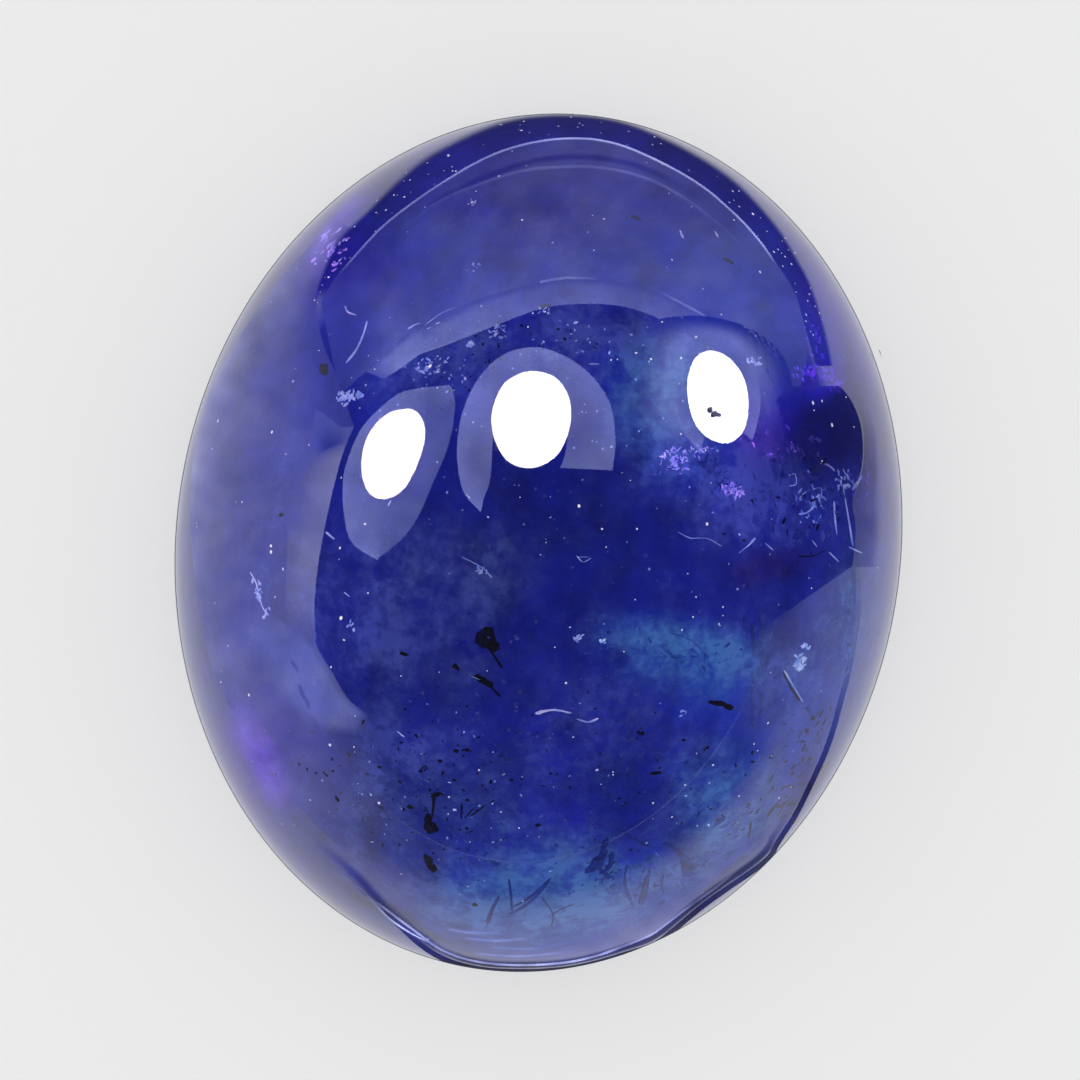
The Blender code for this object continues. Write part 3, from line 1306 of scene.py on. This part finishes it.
@dataclass
class Sealed:
    """One piece that joins all inclusions of one kind, and the tools that shape them."""

    name: str
    finish: InclusionFinish | HazeFinish
    sighting: Sighting
    seed: int
    dent: float = 0.55
    dent_scale: float = 1.7
    noise_span: float = 50.0
    thread_sides: int = 5
    thread_steps: int = 4
    thread_tip: float = 0.4
    thread_swell: Span = (0.75, 1.3)
    second_swell: float = 2.2
    shard_tilt: float = 0.7
    shard_thickness: float = 0.06
    shard_top: Span = (0.3, 0.9)
    shard_bend: float = 0.12
    swarm_crowding: float = 0.7
    swarm_lengths: Span = (0.5, 1.3)
    swarm_widths: Span = (0.6, 1.5)

    def __post_init__(self) -> None:
        """Start the piece's bmesh and its own random numbers."""
        self.shape = bmesh.new()
        self.random = random.Random(self.seed)

    def pixel_size(self, pixel: Pixel, depth: float) -> float:
        """Measure one pixel at a place in the stone.

        Args:
            pixel: The pixel that shows the place.
            depth: How far under the crown it lies.

        Returns:
            The pixel's size there, in metres.
        """
        place = self.sighting.beneath(pixel, depth)
        across = self.sighting.beneath((pixel[0] + 1.0, pixel[1]), depth) - place
        along = self.sighting.beneath((pixel[0], pixel[1] + 1.0), depth) - place
        return (across.length + along.length) / 2.0

    def noise_start(self) -> Vector:
        """A random place in the noise."""
        return Vector((self.random.uniform(0.0, self.noise_span), 0.0, 0.0))

    def turned(self, lean: float) -> Matrix:
        """Turn about Z that leans a thing clockwise in the picture by degrees."""
        return Matrix.Rotation(self.sighting.view.roll - math.radians(lean), 4, "Z")

    def add_grain(self, grain: Grain) -> None:
        """Add one rough lump, made of a small sphere that noise dents.

        Args:
            grain: The lump.
        """
        depth = grain.depth.value
        size = self.pixel_size(grain.middle, depth)
        half = (grain.half_axes[0] * size, grain.half_axes[1] * size, min(grain.half_axes) * size)
        made = bmesh.ops.create_icosphere(self.shape, subdivisions=2, radius=1.0)["verts"]
        offset = self.noise_start()
        for vert in made:
            vert.co *= 1.0 + self.dent * noise.noise(vert.co * self.dent_scale + offset)
        place = Matrix.Translation(self.sighting.beneath(grain.middle, depth + half[2]))
        shaped = place @ self.turned(grain.lean) @ Matrix.Diagonal((*half, 1.0))
        bmesh.ops.transform(self.shape, matrix=shaped, verts=made)

    def add_thread(self, thread: Thread) -> None:
        """Add one tapering line, extruded from place to place.

        Args:
            thread: The line.
        """
        depth = thread.depth.value
        pixels = smooth_line(thread.points, self.thread_steps * (len(thread.points) - 1) + 1)
        places = [self.sighting.beneath(pixel, depth) for pixel in pixels]
        radius = thread.width * self.pixel_size(pixels[0], depth) / 2.0
        lead = (places[1] - places[0]).to_track_quat("Z", "Y").to_matrix().to_4x4()
        start = Matrix.Translation(places[0]) @ lead
        ring = bmesh.ops.create_circle(
            self.shape, segments=self.thread_sides, radius=radius * self.thread_tip, cap_ends=True,
            matrix=start)["verts"]
        edges = [edge for edge in self.shape.edges if edge.verts[0] in ring and edge.verts[1] in ring]
        last = len(places) - 1
        for step in range(1, len(places)):
            verts, edges = grow_ring(self.shape, edges)
            bmesh.ops.translate(self.shape, vec=places[step] - places[step - 1], verts=verts)
            swell = self.random.uniform(*self.thread_swell)
            swell *= {1: self.second_swell, last: self.thread_tip}.get(step, 1.0)
            here = Matrix.Translation(-places[step])
            bmesh.ops.scale(self.shape, vec=(swell,) * 3, verts=verts, space=here)
        bmesh.ops.contextual_create(self.shape, geom=edges)

    def add_shard(self, place: Vector, length: float, slim: float) -> None:
        """Add one flat splinter of many sides, turned at random.

        Args:
            place: Its middle.
            length: Its length in metres.
            slim: Its width as a share of its length.
        """
        spin = self.random.uniform(0.0, math.tau)
        tilt = self.random.uniform(-self.shard_tilt, self.shard_tilt)
        turn = Matrix.Rotation(spin, 4, "Z") @ Matrix.Rotation(tilt, 4, "X")
        size = Matrix.Diagonal((length / 2.0, length * slim / 2.0, length * self.shard_thickness, 1.0))
        made = bmesh.ops.create_cone(
            self.shape, cap_ends=True, segments=self.random.choice((4, 5, 6)), radius1=1.0,
            radius2=self.random.uniform(*self.shard_top), depth=2.0,
            matrix=Matrix.Translation(place) @ turn @ size)["verts"]
        bend = self.shard_bend
        for vert in made:
            vert.co += Vector(self.random.uniform(-bend, bend) * length for _ in range(3))

    def add_swarm(self, swarm: Swarm) -> None:
        """Scatter the shards of a swarm, closer together towards its middle.

        Args:
            swarm: The swarm.
        """
        lean = math.radians(swarm.lean)
        for _ in range(swarm.count):
            angle = self.random.uniform(0.0, math.tau)
            reach = self.random.random() ** self.swarm_crowding
            across = math.cos(angle) * reach * swarm.half_axes[0]
            along = math.sin(angle) * reach * swarm.half_axes[1]
            pixel = (
                swarm.middle[0] + across * math.cos(lean) - along * math.sin(lean),
                swarm.middle[1] + across * math.sin(lean) + along * math.cos(lean),
            )
            depth = swarm.depth.value * (1.0 + swarm.spread * self.random.uniform(-1.0, 1.0))
            length = swarm.length * self.random.uniform(*self.swarm_lengths) * self.pixel_size(pixel, depth)
            slim = swarm.slim * self.random.uniform(*self.swarm_widths)
            self.add_shard(self.sighting.beneath(pixel, depth), length, slim)

    def build(self) -> bpy.types.Object:
        """Turn the joined shapes into one piece that rides on the stone.

        Returns:
            The piece.
        """
        bmesh.ops.recalc_face_normals(self.shape, faces=self.shape.faces)
        piece = new_object(self.name, self.shape, self.finish.material())
        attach(piece, BODY)
        return piece


BLACK = InclusionFinish("black crystal", (0.001, 0.002, 0.012), (0.006, 0.008, 0.06), roughness=0.4)
# Painted glints: each finish from here down glows by emission, which stands in for light caught in the stone.
INK = InclusionFinish("dark blue hollow", (0.012, 0.03, 0.22), (0.035, 0.09, 0.45), roughness=0.5, painted_glint=0.25)
PALE = InclusionFinish("pale fracture and painted arc", (0.25, 0.5, 0.8), (0.75, 1.0, 1.0), painted_glint=0.7)
ICY = InclusionFinish("icy blue feather", (0.03, 0.09, 0.40), (0.20, 0.36, 0.85), painted_glint=0.2)
VIOLET = InclusionFinish("violet splinter", (0.12, 0.12, 0.7), (0.8, 0.75, 1.0), painted_glint=0.8)
VIVID = InclusionFinish("vivid violet splinter", (0.02, 0.02, 0.5), (0.25, 0.25, 1.0), painted_glint=0.6)
WHITE = InclusionFinish("white pit", (0.42, 0.4, 0.75), (0.9, 0.88, 1.0), painted_glint=0.1)

HAZE = HazeFinish("pale haze", (0.42, 0.70, 1.0))

BLACK_GRAINS = [Grain(*row) for row in (
    ((485, 639), (10.5, 10.5)), ((492, 646), (6.5, 5.5), 30.0), ((481, 679), (8.0, 3.6), 25.0),
    ((489, 684), (5.0, 3.0), 35.0), ((430, 827), (6.5, 6.0)), ((428, 819), (3.5, 5.0), 10.0),
    ((429, 862), (3.5, 8.0), -12.0), ((433, 868), (3.0, 4.0)), ((324, 369), (4.0, 5.5), -30.0, Depth.MIDDLE),
    ((718, 703), (9.0, 2.4), 14.0), ((729, 707), (5.0, 2.6), 20.0), ((281, 515), (3.2, 1.6)),
    ((456, 751), (2.6, 2.0)), ((467, 750), (2.6, 1.6)), ((423, 769), (5.0, 2.2), -40.0),
    ((436, 795), (5.0, 2.4), -30.0), ((410, 807), (2.8, 2.4)), ((456, 667), (4.0, 2.4), 40.0),
    ((538, 825), (2.6, 1.8)), ((641, 733), (4.0, 1.8), 20.0), ((656, 773), (6.0, 1.6), 0.0),
    ((636, 218), (4.5, 1.6), 25.0, Depth.SKIN), ((729, 261), (4.8, 1.5), 15.0, Depth.SKIN),
    ((440, 761), (2.4, 1.8)), ((404, 654), (5.0, 1.8), 15.0), ((545, 306), (5.0, 1.6), -10.0),
    ((475, 905), (2.0, 1.8)),
)]

BLACK_SWARMS = [Swarm(*row) for row in (
    ((500, 780), (230, 110), 110, 3.0, 0.6), ((430, 790), (100, 70), 60, 4.0, 0.5),
    ((760, 800), (60, 50), 34, 4.0, 0.4, 40.0), ((800, 765), (24, 70), 46, 5.0, 0.35, 25.0),
    ((812, 500), (34, 44), 18, 6.0, 0.35, 10.0), ((770, 520), (60, 40), 12, 4.0, 0.4, 10.0),
    ((450, 385), (60, 26), 26, 3.4, 0.5, -25.0), ((540, 345), (90, 26), 30, 3.2, 0.5),
    ((600, 855), (22, 18), 8, 5.0, 0.4, 30.0),
)]

BLACK_THREADS = [Thread(*row) for row in (
    ([(490, 650), (497, 660), (502, 668)], 3.0), ([(486, 682), (494, 690), (500, 697)], 2.4),
    ([(431, 822), (433, 810), (434, 797)], 2.4), ([(433, 798), (438, 793), (444, 795)], 2.0),
    ([(428, 812), (424, 806)], 2.0), ([(462, 803), (461, 820)], 2.0), ([(465, 818), (474, 808)], 2.2),
    ([(471, 816), (486, 805)], 2.0), ([(761, 694), (762, 704), (760, 714)], 3.0, Depth.MIDDLE),
    ([(783, 672), (791, 688), (800, 701)], 2.2), ([(798, 556), (812, 556), (827, 550)], 2.0),
    ([(731, 826), (741, 820), (751, 818)], 1.8), ([(751, 821), (750, 830), (748, 838)], 1.6),
    ([(767, 817), (774, 807), (781, 799)], 2.2), ([(786, 805), (798, 804)], 2.0),
    ([(660, 643), (675, 652), (700, 664)], 2.6, Depth.MIDDLE), ([(654, 650), (660, 657)], 2.4, Depth.MIDDLE),
)]

INK_THREADS = [Thread(*row) for row in (
    ([(744, 616), (746, 632), (745, 656)], 5.0, Depth.MIDDLE),
    ([(761, 614), (764, 634), (762, 658), (757, 684)], 6.0, Depth.MIDDLE),
    ([(752, 625), (754, 660), (752, 700), (754, 730)], 5.0, Depth.MIDDLE),
    ([(510, 914), (530, 902), (549, 882)], 4.5), ([(513, 907), (530, 897), (551, 878)], 3.0),
    ([(499, 896), (492, 910), (487, 925)], 2.6), ([(509, 879), (511, 895), (512, 911)], 2.4),
    ([(541, 896), (553, 914), (551, 927)], 2.0), ([(553, 914), (563, 908), (575, 904)], 2.6),
    ([(563, 919), (595, 919), (626, 914)], 1.8), ([(607, 838), (603, 850), (600, 862)], 5.0),
    ([(606, 850), (598, 864), (587, 873)], 9.0), ([(598, 856), (592, 866), (586, 870)], 6.0),
    ([(596, 866), (606, 874), (612, 880)], 5.0), ([(612, 852), (610, 866), (600, 874)], 6.0),
    ([(664, 843), (677, 850), (686, 862), (689, 876)], 5.0),
    ([(668, 842), (690, 850), (716, 852)], 4.5, Depth.MIDDLE), ([(650, 868), (646, 885), (642, 905)], 3.0),
    ([(627, 864), (625, 884), (633, 907)], 2.4), ([(663, 875), (662, 886), (664, 893)], 2.4),
    ([(620, 830), (640, 842), (655, 848)], 3.5, Depth.MIDDLE),
    ([(438, 868), (436, 880), (440, 895)], 3.0, Depth.MIDDLE),
    ([(590, 820), (588, 838), (594, 850)], 3.0, Depth.MIDDLE),
)]

PALE_THREADS_AND_PAINTED_ARCS = [Thread(*row) for row in (
    ([(678, 532), (690, 538), (700, 538), (709, 539), (721, 546)], 2.0),
    ([(739, 553), (744, 549), (750, 544), (755, 538)], 1.8), ([(765, 543), (773, 550)], 1.4),
    ([(575, 641), (579, 638), (584, 634)], 2.4), ([(462, 557), (474, 563), (484, 569), (492, 578)], 2.6),
    ([(577, 556), (583, 562), (591, 558)], 2.4), ([(578, 557), (588, 557)], 2.2),
    ([(345, 306), (348, 312), (356, 315)], 2.4, Depth.SKIN),
    ([(367, 321), (363, 335), (356, 350), (346, 363)], 1.6, Depth.SKIN),
    ([(408, 329), (414, 325), (420, 323)], 3.0, Depth.SKIN), ([(427, 329), (431, 327)], 2.8, Depth.SKIN),
    ([(436, 324), (440, 322)], 2.6, Depth.SKIN), ([(425, 325), (440, 314), (456, 307)], 1.3, Depth.SKIN),
    # Painted reflection: the next two wide pale arcs under the crown stand in for small white reflections,
    # not fractures.
    ([(537, 714), (544, 711), (553, 710), (562, 711), (570, 713)], 9.0, Depth.SKIN),
    ([(578, 719), (586, 722), (592, 721), (598, 718)], 6.5, Depth.SKIN),
    ([(250, 572), (256, 583), (262, 606), (269, 616)], 1.8, Depth.SKIN),
    ([(326, 532), (334, 539)], 2.8, Depth.SKIN), ([(344, 592), (350, 597)], 2.2),
    ([(788, 476), (795, 474), (796, 484), (789, 486)], 1.1),
    ([(798, 500), (806, 492), (821, 488), (819, 500), (808, 512), (799, 514)], 1.5),
    ([(820, 463), (828, 465), (835, 471)], 2.0), ([(843, 469), (848, 478), (856, 486)], 2.2),
    ([(862, 476), (857, 483), (852, 490)], 1.8), ([(834, 501), (835, 518), (837, 535)], 1.8),
    ([(843, 486), (848, 515), (853, 546)], 1.6), ([(849, 547), (862, 553)], 1.4),
    ([(829, 552), (839, 562)], 1.4), ([(812, 540), (817, 547)], 1.6),
    ([(795, 655), (799, 660), (801, 669)], 3.6), ([(801, 668), (806, 664)], 3.4),
    ([(804, 643), (808, 650)], 2.6), ([(784, 670), (794, 687), (803, 702)], 1.3),
    ([(388, 506), (391, 500)], 2.2, Depth.SKIN), ([(471, 676), (480, 680)], 2.0),
    ([(397, 731), (404, 737)], 2.4, Depth.SKIN), ([(680, 230), (683, 238)], 2.2, Depth.SKIN),
    ([(715, 231), (718, 237)], 1.6, Depth.SKIN), ([(589, 364), (599, 364)], 2.6, Depth.SKIN),
)]

ICY_THREADS = [Thread(*row) for row in (
    ([(627, 861), (628, 882), (636, 907)], 1.6), ([(636, 861), (647, 873), (646, 902)], 1.6),
    ([(615, 849), (627, 861)], 2.0), ([(655, 852), (670, 868), (682, 888)], 1.8),
    ([(694, 860), (706, 862)], 3.0), ([(656, 646), (668, 655), (684, 662)], 3.0),
    ([(668, 632), (690, 640), (704, 652)], 2.4), ([(598, 878), (606, 888), (612, 900)], 2.4),
    ([(594, 858), (600, 866)], 2.4), ([(700, 826), (722, 838), (738, 850)], 2.4, Depth.MIDDLE),
    ([(560, 850), (562, 872), (558, 890)], 2.6, Depth.MIDDLE),
    ([(470, 840), (466, 862), (474, 884)], 2.4, Depth.MIDDLE),
)]

PALE_SWARMS = [Swarm(*row) for row in (
    ((520, 790), (230, 110), 34, 2.6, 0.6), ((430, 790), (110, 70), 24, 3.0, 0.5),
    ((440, 372), (34, 20), 26, 4.5, 0.4), ((590, 338), (60, 20), 20, 4.0, 0.4),
    ((600, 450), (240, 180), 60, 2.2, 0.7), ((470, 400), (180, 110), 50, 2.4, 0.7),
    ((350, 397), (13, 9), 34, 5.5, 0.6), ((472, 345), (5, 4), 8, 5.0, 0.6),
    ((497, 331), (12, 8), 22, 4.0, 0.5), ((429, 366), (13, 8), 22, 4.5, 0.4), ((545, 311), (8, 4), 9, 3.5),
    ((471, 268), (11, 4), 10, 3.0, 0.6, -20.0), ((473, 203), (6, 4), 7, 4.0),
    ((258, 590), (6, 12), 14, 5.0, 0.5, -20.0), ((266, 611), (6, 7), 10, 4.0),
    ((482, 570), (6, 3), 7, 6.0, 0.4, 30.0), ((578, 639), (4, 4), 6, 5.0, 0.5),
    ((604, 640), (4, 3), 6, 4.0, 0.5), ((756, 362), (10, 6), 16, 4.0, 0.5),
    ((682, 713), (5, 4), 9, 3.5, 0.5), ((799, 662), (6, 8), 16, 5.5, 0.6), ((806, 646), (4, 4), 6, 4.5, 0.5),
    ((332, 250), (16, 26), 46, 3.6, 0.5, 25.0, Depth.SKIN), ((352, 625), (6, 5), 6, 3.5, 0.4),
    ((846, 478), (12, 12), 16, 5.0, 0.35), ((812, 503), (16, 20), 26, 8.0, 0.16, 0.0, Depth.MIDDLE),
)]

ICY_SWARMS = [Swarm(*row) for row in (
    ((808, 505), (36, 50), 60, 11.0, 0.3, 10.0), ((770, 500), (60, 50), 50, 7.0, 0.35, 10.0),
    ((369, 814), (15, 10), 40, 3.6, 0.5), ((432, 775), (18, 12), 30, 3.6, 0.4),
    ((604, 882), (16, 8), 14, 6.0, 0.6), ((697, 864), (9, 7), 14, 7.0, 0.7),
    ((668, 870), (6, 6), 10, 5.0, 0.5), ((712, 470), (16, 22), 60, 9.0, 0.18, -25.0),
    ((660, 470), (14, 14), 16, 7.0, 0.2), ((700, 650), (60, 18), 60, 12.0, 0.3, 14.0, Depth.MIDDLE),
    ((630, 640), (44, 14), 40, 9.0, 0.35, 5.0, Depth.MIDDLE),
    ((735, 832), (50, 30), 50, 12.0, 0.4, 40.0, Depth.MIDDLE),
    ((640, 885), (60, 26), 50, 13.0, 0.45, -10.0, Depth.MIDDLE),
    ((450, 850), (60, 24), 34, 9.0, 0.4, 0.0, Depth.MIDDLE),
    ((600, 760), (60, 50), 34, 8.0, 0.4, 0.0, Depth.MIDDLE),
    ((800, 735), (26, 50), 44, 9.0, 0.3, 20.0, Depth.MIDDLE), ((845, 640), (12, 40), 26, 8.0, 0.35, 0.0),
    ((520, 750), (230, 150), 160, 5.0, 0.6), ((560, 520), (300, 330), 200, 4.0, 0.6),
)]

VIOLET_SWARMS = [Swarm(*row) for row in (
    ((676, 461), (15, 13), 60, 6.0, 0.22, 10.0), ((734, 490), (13, 8), 50, 5.0, 0.3, 15.0),
    ((702, 452), (12, 8), 22, 4.5, 0.3), ((790, 450), (40, 24), 30, 6.0, 0.25, 0.0, Depth.MIDDLE),
)]

VIVID_SWARMS = [Swarm(*row) for row in (
    ((813, 373), (21, 8), 60, 4.0, 0.5, 0.0), ((836, 384), (9, 8), 18, 4.5, 0.5),
    ((815, 335), (10, 26), 26, 4.5, 0.4, -10.0), ((860, 480), (12, 24), 20, 5.0, 0.3),
)]

PIT_GRAINS = [
    (448, 155), (410, 180), (394, 195), (386, 210), (472, 202), (499, 176), (522, 220), (604, 219),
    (696, 337), (636, 353), (651, 359), (681, 358), (683, 401), (611, 360), (681, 434), (707, 524),
    (723, 607), (682, 630), (672, 817), (813, 403), (822, 401), (846, 397), (832, 425), (854, 427),
    (822, 461), (218, 421), (212, 449), (272, 432), (197, 527), (242, 502), (286, 454), (271, 546),
    (271, 552), (215, 603), (283, 569), (228, 646), (221, 671), (221, 682), (340, 548), (368, 593),
    (341, 618), (331, 667), (249, 695), (488, 517), (365, 524), (330, 745), (354, 747), (282, 824),
    (379, 803), (501, 812), (519, 828), (579, 506), (602, 529), (637, 529), (696, 597), (693, 617),
    (719, 624), (566, 683), (739, 796), (779, 798), (791, 787), (597, 770), (613, 772), (685, 785),
    (653, 803), (768, 723), (754, 744), (713, 765), (739, 191), (753, 214), (734, 220), (760, 272),
    (528, 327), (275, 597), (449, 797), (479, 770), (344, 640), (600, 640), (430, 366), (545, 312),
]

DARK_PITS = [
    ((710, 410), 3.2, 1.1), ((714, 414), 3.0, 1.2), ((718, 415), 2.2, 1.6), ((880, 352), 1.6, 1.8),
    ((902, 505), 1.5, 2.0), ((281, 515), 1.2, 2.0), ((881, 356), 1.0, 1.5), ((337, 799), 2.6, 1.2),
    ((299, 764), 1.6, 1.3), ((307, 769), 1.6, 1.5), ((316, 773), 1.5, 1.4), ((325, 774), 1.9, 1.8),
    ((333, 771), 1.4, 1.3), ((332, 759), 1.5, 1.6), ((363, 722), 1.7, 1.8),
]

SEALED_PIECES = [
    ("black_crystals", BLACK, 11, BLACK_GRAINS, BLACK_THREADS, BLACK_SWARMS),
    ("dark_hollow_tubes", INK, 12, [], INK_THREADS, []),
    ("pale_fractures_and_painted_arcs", PALE, 13, [], PALE_THREADS_AND_PAINTED_ARCS, PALE_SWARMS),
    ("icy_feathers", ICY, 14, [], ICY_THREADS, ICY_SWARMS),
    ("violet_splinters", VIOLET, 15, [], [], VIOLET_SWARMS),
    ("vivid_splinters", VIVID, 19, [], [], VIVID_SWARMS),
]


def pixel_in_stone(view: PictureView, angle: float, reach: float) -> Pixel:
    """Pixel at an angle from the stone's middle, at a share of the way to its outline.

    Args:
        view: The picture's view.
        angle: Angle in radians.
        reach: Share of the way to the outline.

    Returns:
        The pixel.
    """
    across = view.stone_half[0] * reach * math.cos(angle)
    along = view.stone_half[1] * reach * math.sin(angle)
    return (
        view.stone_centre[0] + across * math.cos(view.roll) + along * math.sin(view.roll),
        view.stone_centre[1] + across * math.sin(view.roll) - along * math.cos(view.roll),
    )


@dataclass
class PolishPits(Sealed):
    """Tiny pits in the polish, which catch the light as white points; the white ones also glow faintly by a
    painted glint.
    """

    loose: int = 130
    band: int = 90
    shown_halves: tuple[float, ...] = (0.9, 1.1, 1.3, 1.9)
    loose_halves: Span = (0.35, 0.9)
    band_halves: Span = (0.5, 1.3)
    edge: float = 0.97
    band_steps: int = 101
    height: float = 0.25
    stretches: Span = (0.8, 1.5)

    def fill(self) -> None:
        """Set every pit: those that the picture shows, a fine scatter, and more along the top edge."""
        for middle in PIT_GRAINS:
            self.add_pit(middle, self.random.choice(self.shown_halves))
        for _ in range(self.loose):
            angle = self.random.uniform(0.0, math.tau)
            reach = self.edge * math.sqrt(self.random.random())
            middle = pixel_in_stone(self.sighting.view, angle, reach)
            self.add_pit(middle, self.random.uniform(*self.loose_halves))
        outer = smooth_line(TOP_EDGE, self.band_steps)
        inner = smooth_line(TOP_LINE, self.band_steps)
        for _ in range(self.band):
            step = self.random.randrange(self.band_steps)
            share = self.random.random()
            middle = tuple(between(inner[step][axis], outer[step][axis], share) for axis in (0, 1))
            self.add_pit(middle, self.random.uniform(*self.band_halves))

    def add_pit(self, middle: Pixel, half: float, stretch: float = 1.0) -> None:
        """Add one pit as a low rough lump in the surface.

        Args:
            middle: The pixel that shows it.
            half: Half its width in pixels.
            stretch: Its length as a multiple of its width.
        """
        place = self.sighting.surface(middle)
        up = self.sighting.dome.normal(place).to_track_quat("Z", "Y").to_matrix().to_4x4()
        size = half / self.sighting.view.pixels_per_metre
        length = size * stretch * self.random.uniform(*self.stretches)
        flat = Matrix.Diagonal((length, size, size * self.height, 1.0))
        spin = Matrix.Rotation(self.random.uniform(0.0, math.tau), 4, "Z")
        bmesh.ops.create_icosphere(
            self.shape, subdivisions=1, radius=1.0, matrix=Matrix.Translation(place) @ up @ spin @ flat)


@dataclass
class HazeSheet(Sealed):
    """A wavy sheet of broken haze that follows the crown some way under it."""

    depth: Depth = Depth.VEIL
    base: float = 0.12
    edge: float = 0.975
    around: int = 144
    rings: int = 56
    wave: float = 0.12 * MM
    wave_scale: float = 0.02
    rim_rise: float = 10.0

    def fill(self) -> None:
        """Extrude rings out from the middle, lay them under the crown and set the haze of each vertex."""
        thick = self.shape.verts.layers.float.new("haze")
        bmesh.ops.create_circle(self.shape, segments=self.around, radius=1.0 / self.rings, cap_ends=True)
        edges = list(self.shape.edges)
        for ring in range(1, self.rings):
            growth = (ring + 1.0) / ring
            edges = grow_ring(self.shape, edges, (growth, growth, 1.0))[1]
        offset = self.noise_start()
        for vert in self.shape.verts:
            reach = vert.co.length
            angle = math.atan2(vert.co.y, vert.co.x)
            pixel = pixel_in_stone(self.sighting.view, angle, reach * self.edge)
            amount = self.base + sum(spot.at(pixel) for spot in HAZE_SPOTS)
            vert[thick] = amount * min((1.0 - reach) * self.rim_rise, 1.0)
            place = Vector((pixel[0], pixel[1], 0.0)) * self.wave_scale
            lift = noise.noise(place + offset) * self.wave
            vert.co = self.sighting.beneath(pixel, self.depth.value + lift)


def build_inclusions(sighting: Sighting, log: logging.Logger) -> None:
    """Build every piece that is sealed in the stone or sits in its polish.

    Args:
        sighting: Turns pixels into places.
        log: Where each piece is reported.
    """
    pieces = []
    for name, finish, seed, grains, threads, swarms in SEALED_PIECES:
        sealed = Sealed(name, finish, sighting, seed)
        for grain in grains:
            sealed.add_grain(grain)
        for thread in threads:
            sealed.add_thread(thread)
        for swarm in swarms:
            sealed.add_swarm(swarm)
        pieces.append(sealed)
    pits = PolishPits("polish_pits", WHITE, sighting, seed=16)
    pits.fill()
    dark_pits = PolishPits("dark_pits", BLACK, sighting, seed=17)
    for middle, half, stretch in DARK_PITS:
        dark_pits.add_pit(middle, half, stretch)
    haze = HazeSheet("haze_sheet", HAZE, sighting, seed=18)
    haze.fill()
    for sealed in pieces + [pits, dark_pits, haze]:
        piece = sealed.build()
        log.info("%s: %d faces", piece.name, len(piece.data.polygons))


def main() -> None:
    """Build the camera, the studio, the stone and what it holds."""
    logging.basicConfig(level=logging.INFO, format="%(message)s")
    log = logging.getLogger("cabochon")
    bpy.context.scene.view_settings.view_transform = "Standard"
    bpy.context.scene.cycles.transparent_max_bounces = CLEAR_BOUNCES
    bpy.context.scene.cycles.max_bounces = BOUNCES
    bpy.context.scene.cycles.diffuse_bounces = DIFFUSE_BOUNCES
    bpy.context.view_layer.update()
    low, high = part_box(STONE_NODE)
    view = PictureView()
    girdle = view.girdle
    dome = Dome((high.x - low.x) / 2.0, (high.y - low.y) / 2.0, high.z - girdle, girdle)
    sighting = Sighting(view, dome)
    view.build()
    studio = Studio()
    studio.build_world()
    studio.build_floor()
    glows = {light: glow_material(light.name.lower() + " studio glow", light.value) for light in Light}
    for card in CARDS + [streak.card() for streak in STREAKS]:
        card.build(sighting, glows[card.light])
    for lamp in LAMPS:
        lamp.build(sighting, glows[Light.NEUTRAL])
    Pool().build(glows[Light.NEUTRAL])
    ContactLine(dome.half_width, dome.half_length).build(glows[Light.NEUTRAL])
    stone = Stone(dome.half_width, dome.half_length, dome.height, girdle).build(TanzaniteFinish(), sighting)
    log.info("%s: %d faces", stone.name, len(stone.data.polygons))
    build_inclusions(sighting, log)


if __name__ == "__main__":
    main()
